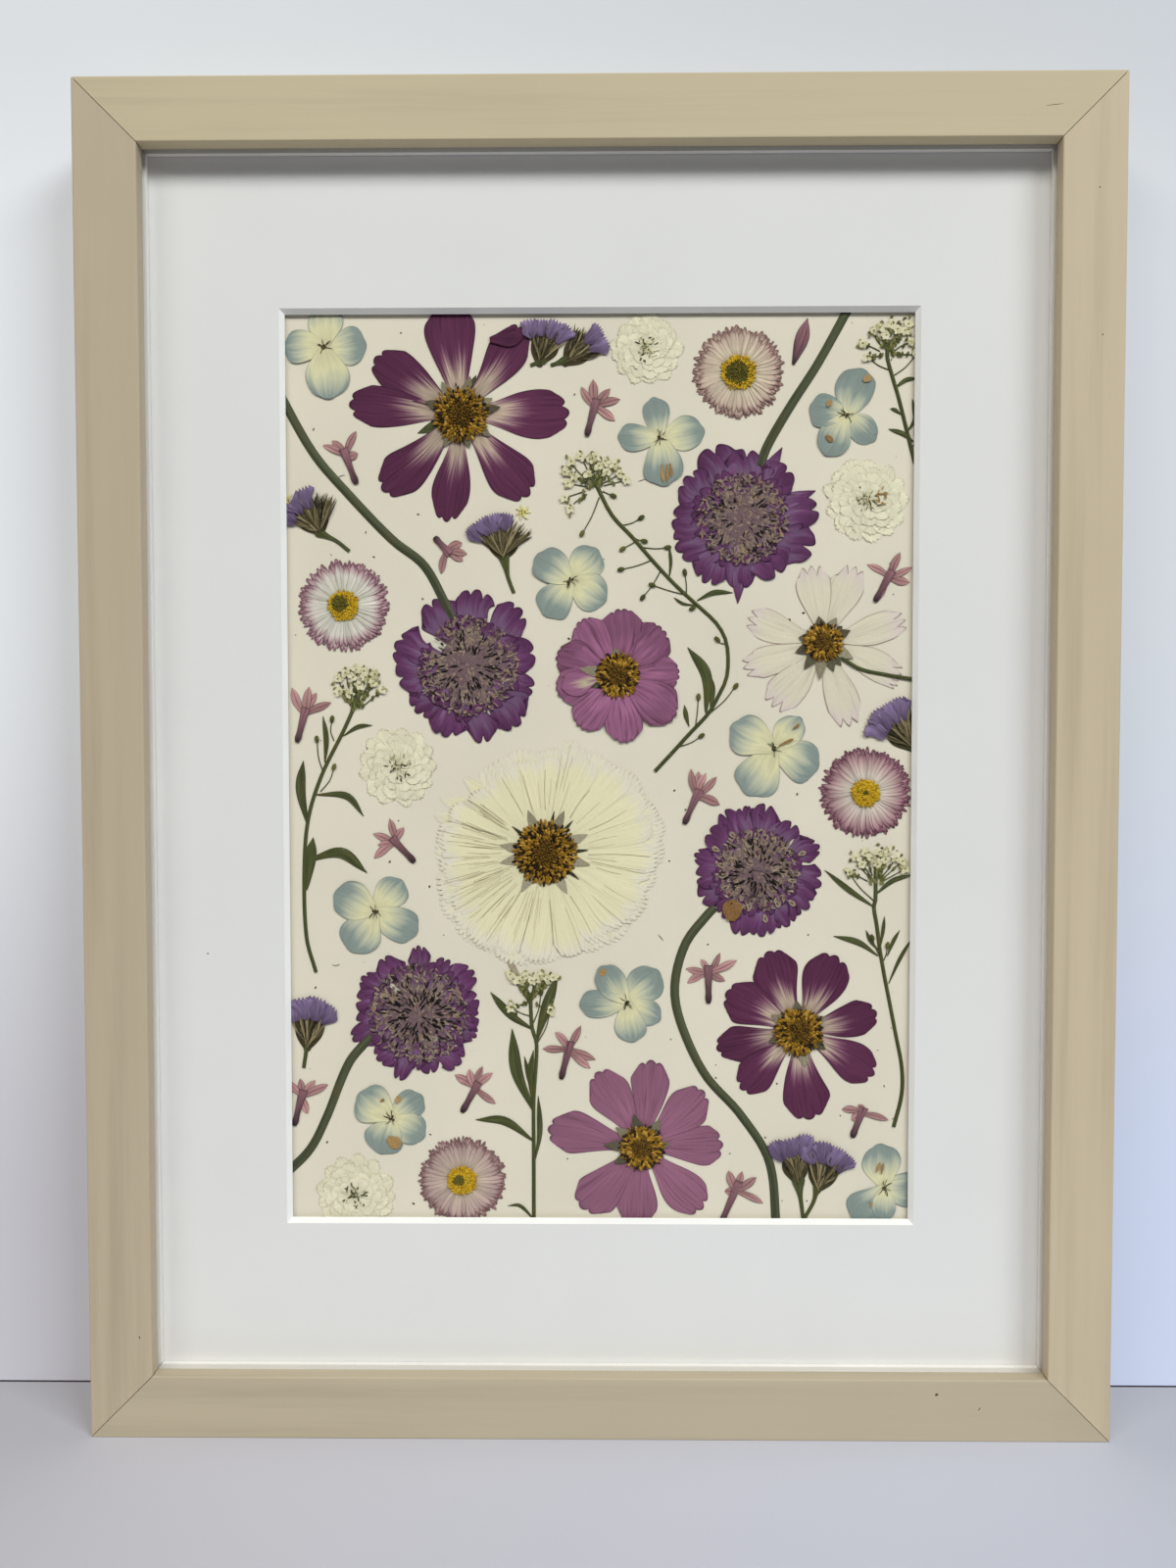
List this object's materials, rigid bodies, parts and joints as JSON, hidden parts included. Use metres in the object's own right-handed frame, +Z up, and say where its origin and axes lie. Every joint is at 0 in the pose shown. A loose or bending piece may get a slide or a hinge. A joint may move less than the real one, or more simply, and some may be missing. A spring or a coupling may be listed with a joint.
{
  "type": "pressed flower frame",
  "caption": "Mitred wooden box frame with glass, bevelled mat and pressed garden flowers, stems and sprigs laid on cream paper over a tabbed backing board.",
  "frame": {"origin": "middle of the footprint, on the surface that the bottom rail stands on", "axes": "+X to the right seen from the front, +Y from the glazed front to the back, +Z up"},
  "size_m": [0.326, 0.032, 0.429],
  "materials": {
    "pale_wood": "bare sanded pale wood with fine straight grain",
    "glazing": "clear picture glass",
    "spacer_card": "matt off-white card",
    "mat_card": "smooth matt white mat board, bevelled window",
    "cream_paper": "matt cream drawing paper with faint cockle",
    "fibreboard": "brown hardboard, smooth face",
    "zinc_steel": "zinc-plated thin steel",
    "purple_petal": "dried petal, dark purple with pale streaked throat",
    "mauve_petal": "dried petal, mauve, lightly veined",
    "white_petal": "dried petal, ivory white and thin",
    "cream_petal": "dried petal, cream with fine radial veins",
    "scabiosa_petal": "dried ruffled petal, violet",
    "daisy_petal": "dried narrow petals, pink to white",
    "hydrangea_sepal": "dried sepal, cream turning blue at the edge",
    "statice_petal": "papery violet petals over brown calyxes",
    "dried_green": "dried leaf and stem, dull green"
  },
  "bodies": {
    "root": {"rail_top": "pale_wood", "rail_bottom": "pale_wood", "stile_left": "pale_wood", "stile_right": "pale_wood", "glass_pane": "glazing", "spacer_top": "spacer_card", "spacer_bottom": "spacer_card", "spacer_left": "spacer_card", "spacer_right": "spacer_card", "mat_board": "mat_card", "mounting_sheet": "cream_paper", "backing_board": "fibreboard", "hanger": "zinc_steel", "retaining_tab_1": "zinc_steel", "retaining_tab_2": "zinc_steel", "retaining_tab_3": "zinc_steel", "retaining_tab_4": "zinc_steel", "retaining_tab_5": "zinc_steel", "retaining_tab_6": "zinc_steel", "retaining_tab_7": "zinc_steel", "retaining_tab_8": "zinc_steel", "cosmos_purple_large": "purple_petal", "cosmos_purple_small": "purple_petal", "cosmos_mauve": "mauve_petal", "cosmos_pink": "mauve_petal", "cosmos_white": "white_petal", "cosmos_cream": "cream_petal", "scabiosa_left": "scabiosa_petal", "scabiosa_top": "scabiosa_petal", "scabiosa_right": "scabiosa_petal", "scabiosa_low": "scabiosa_petal", "daisy_magenta": "daisy_petal", "daisy_beige": "daisy_petal", "daisy_mauve": "daisy_petal", "daisy_pink": "daisy_petal", "double_white_top": "white_petal", "double_white_right": "white_petal", "double_white_left": "white_petal", "double_white_low": "white_petal", "hydrangea_1": "hydrangea_sepal", "hydrangea_2": "hydrangea_sepal", "hydrangea_3": "hydrangea_sepal", "hydrangea_4": "hydrangea_sepal", "hydrangea_5": "hydrangea_sepal", "hydrangea_6": "hydrangea_sepal", "hydrangea_7": "hydrangea_sepal", "hydrangea_8": "hydrangea_sepal", "hydrangea_9": "hydrangea_sepal", "statice_1": "statice_petal", "statice_2": "statice_petal", "statice_3": "statice_petal", "statice_4": "statice_petal", "statice_5": "statice_petal", "statice_6": "statice_petal", "sprig_left": "dried_green", "sprig_centre": "dried_green", "sprig_top_right": "dried_green", "sprig_right": "dried_green", "sprig_low": "dried_green"}
  },
  "joints": []
}
